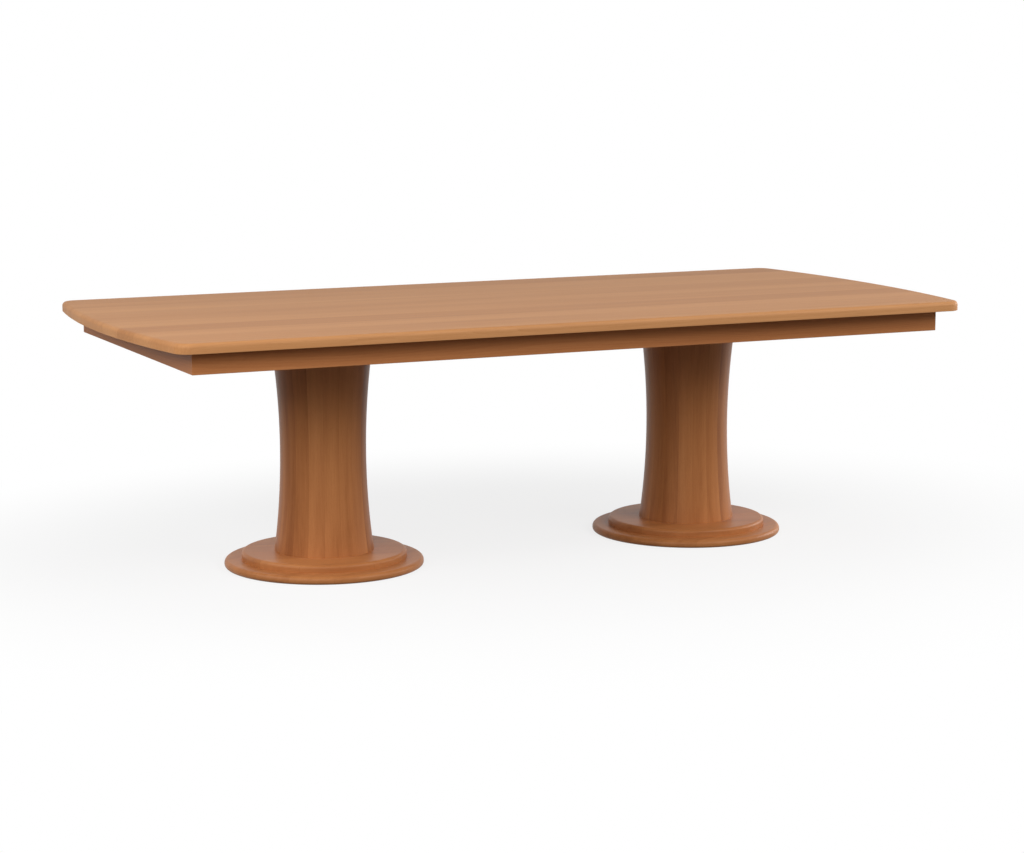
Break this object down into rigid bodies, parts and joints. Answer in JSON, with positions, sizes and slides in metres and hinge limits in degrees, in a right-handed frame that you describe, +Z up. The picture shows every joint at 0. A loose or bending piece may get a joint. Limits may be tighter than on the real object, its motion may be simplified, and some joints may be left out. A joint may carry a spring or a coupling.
{
  "type": "double pedestal dining table",
  "caption": "Long wooden dining table with bowed ends and a plain apron, carried on waisted round columns that stand on stepped disc bases with recessed levelling glides.",
  "frame": {"origin": "middle of the table's footprint, on the floor", "axes": "+X along the table, +Y from the front to the back, +Z up"},
  "size_m": [2.53, 1.156, 0.746],
  "materials": {
    "top_wood": "satin lacquer",
    "apron_wood": "satin lacquer",
    "column_wood": "satin lacquer",
    "base_wood": "satin lacquer",
    "frame_wood": "bare, planed",
    "plywood": "bare, sanded",
    "dowel_wood": "bare, fluted beech",
    "zinc_steel": "bright zinc",
    "insert_brass": "as turned",
    "glide_plastic": "nylon"
  },
  "bodies": {
    "table": {"clip_screws": "zinc_steel", "corner_block_front_left": "frame_wood", "corner_block_front_right": "frame_wood", "corner_block_rear_left": "frame_wood", "corner_block_rear_right": "frame_wood", "front_apron": "apron_wood", "left_apron": "apron_wood", "left_base_plinth": "base_wood", "left_base_screws": "zinc_steel", "left_base_step": "base_wood", "left_column_foot_plug": "plywood", "left_column_head_plug": "plywood", "left_column_staves": "column_wood", "left_glide_inserts": "insert_brass", "left_inner_bearer": "frame_wood", "left_locating_dowels": "dowel_wood", "left_mount_plate": "plywood", "left_outer_bearer": "frame_wood", "left_plate_bolts": "zinc_steel", "left_plate_inserts": "insert_brass", "left_tie_rod": "zinc_steel", "left_tie_rod_nuts": "zinc_steel", "rear_apron": "apron_wood", "right_apron": "apron_wood", "right_base_plinth": "base_wood", "right_base_screws": "zinc_steel", "right_base_step": "base_wood", "right_column_foot_plug": "plywood", "right_column_head_plug": "plywood", "right_column_staves": "column_wood", "right_glide_inserts": "insert_brass", "right_inner_bearer": "frame_wood", "right_locating_dowels": "dowel_wood", "right_mount_plate": "plywood", "right_outer_bearer": "frame_wood", "right_plate_bolts": "zinc_steel", "right_plate_inserts": "insert_brass", "right_tie_rod": "zinc_steel", "right_tie_rod_nuts": "zinc_steel", "table_top": "top_wood", "top_clips": "zinc_steel", "top_screws": "zinc_steel"},
    "left_front_outer_pad": {"left_glide_pad_front_outer": "glide_plastic"},
    "left_front_outer_stem": {"left_glide_stem_front_outer": "zinc_steel"},
    "left_front_inner_pad": {"left_glide_pad_front_inner": "glide_plastic"},
    "left_front_inner_stem": {"left_glide_stem_front_inner": "zinc_steel"},
    "left_rear_outer_pad": {"left_glide_pad_rear_outer": "glide_plastic"},
    "left_rear_outer_stem": {"left_glide_stem_rear_outer": "zinc_steel"},
    "left_rear_inner_pad": {"left_glide_pad_rear_inner": "glide_plastic"},
    "left_rear_inner_stem": {"left_glide_stem_rear_inner": "zinc_steel"},
    "right_front_outer_pad": {"right_glide_pad_front_outer": "glide_plastic"},
    "right_front_outer_stem": {"right_glide_stem_front_outer": "zinc_steel"},
    "right_front_inner_pad": {"right_glide_pad_front_inner": "glide_plastic"},
    "right_front_inner_stem": {"right_glide_stem_front_inner": "zinc_steel"},
    "right_rear_outer_pad": {"right_glide_pad_rear_outer": "glide_plastic"},
    "right_rear_outer_stem": {"right_glide_stem_rear_outer": "zinc_steel"},
    "right_rear_inner_pad": {"right_glide_pad_rear_inner": "glide_plastic"},
    "right_rear_inner_stem": {"right_glide_stem_rear_inner": "zinc_steel"}
  },
  "joints": [
    {"name": "left_front_outer_pad_travel", "type": "slide", "parent": "table", "child": "left_front_outer_pad", "axis": [0, 0, -1], "range_m": [0, 0.01]},
    {"name": "left_front_outer_stem_turn", "type": "hinge", "parent": "left_front_outer_pad", "child": "left_front_outer_stem", "pos_m": [-0.751, -0.1485, 0.0074], "axis": [0, 0, -1], "range_deg": [0, 3000]},
    {"name": "left_front_inner_pad_travel", "type": "slide", "parent": "table", "child": "left_front_inner_pad", "axis": [0, 0, -1], "range_m": [0, 0.01]},
    {"name": "left_front_inner_stem_turn", "type": "hinge", "parent": "left_front_inner_pad", "child": "left_front_inner_stem", "pos_m": [-0.454, -0.1485, 0.0074], "axis": [0, 0, -1], "range_deg": [0, 3000]},
    {"name": "left_rear_outer_pad_travel", "type": "slide", "parent": "table", "child": "left_rear_outer_pad", "axis": [0, 0, -1], "range_m": [0, 0.01]},
    {"name": "left_rear_outer_stem_turn", "type": "hinge", "parent": "left_rear_outer_pad", "child": "left_rear_outer_stem", "pos_m": [-0.751, 0.1485, 0.0074], "axis": [0, 0, -1], "range_deg": [0, 3000]},
    {"name": "left_rear_inner_pad_travel", "type": "slide", "parent": "table", "child": "left_rear_inner_pad", "axis": [0, 0, -1], "range_m": [0, 0.01]},
    {"name": "left_rear_inner_stem_turn", "type": "hinge", "parent": "left_rear_inner_pad", "child": "left_rear_inner_stem", "pos_m": [-0.454, 0.1485, 0.0074], "axis": [0, 0, -1], "range_deg": [0, 3000]},
    {"name": "right_front_outer_pad_travel", "type": "slide", "parent": "table", "child": "right_front_outer_pad", "axis": [0, 0, -1], "range_m": [0, 0.01]},
    {"name": "right_front_outer_stem_turn", "type": "hinge", "parent": "right_front_outer_pad", "child": "right_front_outer_stem", "pos_m": [0.751, -0.1485, 0.0074], "axis": [0, 0, -1], "range_deg": [0, 3000]},
    {"name": "right_front_inner_pad_travel", "type": "slide", "parent": "table", "child": "right_front_inner_pad", "axis": [0, 0, -1], "range_m": [0, 0.01]},
    {"name": "right_front_inner_stem_turn", "type": "hinge", "parent": "right_front_inner_pad", "child": "right_front_inner_stem", "pos_m": [0.454, -0.1485, 0.0074], "axis": [0, 0, -1], "range_deg": [0, 3000]},
    {"name": "right_rear_outer_pad_travel", "type": "slide", "parent": "table", "child": "right_rear_outer_pad", "axis": [0, 0, -1], "range_m": [0, 0.01]},
    {"name": "right_rear_outer_stem_turn", "type": "hinge", "parent": "right_rear_outer_pad", "child": "right_rear_outer_stem", "pos_m": [0.751, 0.1485, 0.0074], "axis": [0, 0, -1], "range_deg": [0, 3000]},
    {"name": "right_rear_inner_pad_travel", "type": "slide", "parent": "table", "child": "right_rear_inner_pad", "axis": [0, 0, -1], "range_m": [0, 0.01]},
    {"name": "right_rear_inner_stem_turn", "type": "hinge", "parent": "right_rear_inner_pad", "child": "right_rear_inner_stem", "pos_m": [0.454, 0.1485, 0.0074], "axis": [0, 0, -1], "range_deg": [0, 3000]}
  ],
  "couplings": [
    {"joint": "left_front_outer_stem_turn", "follows": "left_front_outer_pad_travel", "rad_per_m": 4188.8},
    {"joint": "left_front_inner_stem_turn", "follows": "left_front_inner_pad_travel", "rad_per_m": 4188.8},
    {"joint": "left_rear_outer_stem_turn", "follows": "left_rear_outer_pad_travel", "rad_per_m": 4188.8},
    {"joint": "left_rear_inner_stem_turn", "follows": "left_rear_inner_pad_travel", "rad_per_m": 4188.8},
    {"joint": "right_front_outer_stem_turn", "follows": "right_front_outer_pad_travel", "rad_per_m": 4188.8},
    {"joint": "right_front_inner_stem_turn", "follows": "right_front_inner_pad_travel", "rad_per_m": 4188.8},
    {"joint": "right_rear_outer_stem_turn", "follows": "right_rear_outer_pad_travel", "rad_per_m": 4188.8},
    {"joint": "right_rear_inner_stem_turn", "follows": "right_rear_inner_pad_travel", "rad_per_m": 4188.8}
  ]
}
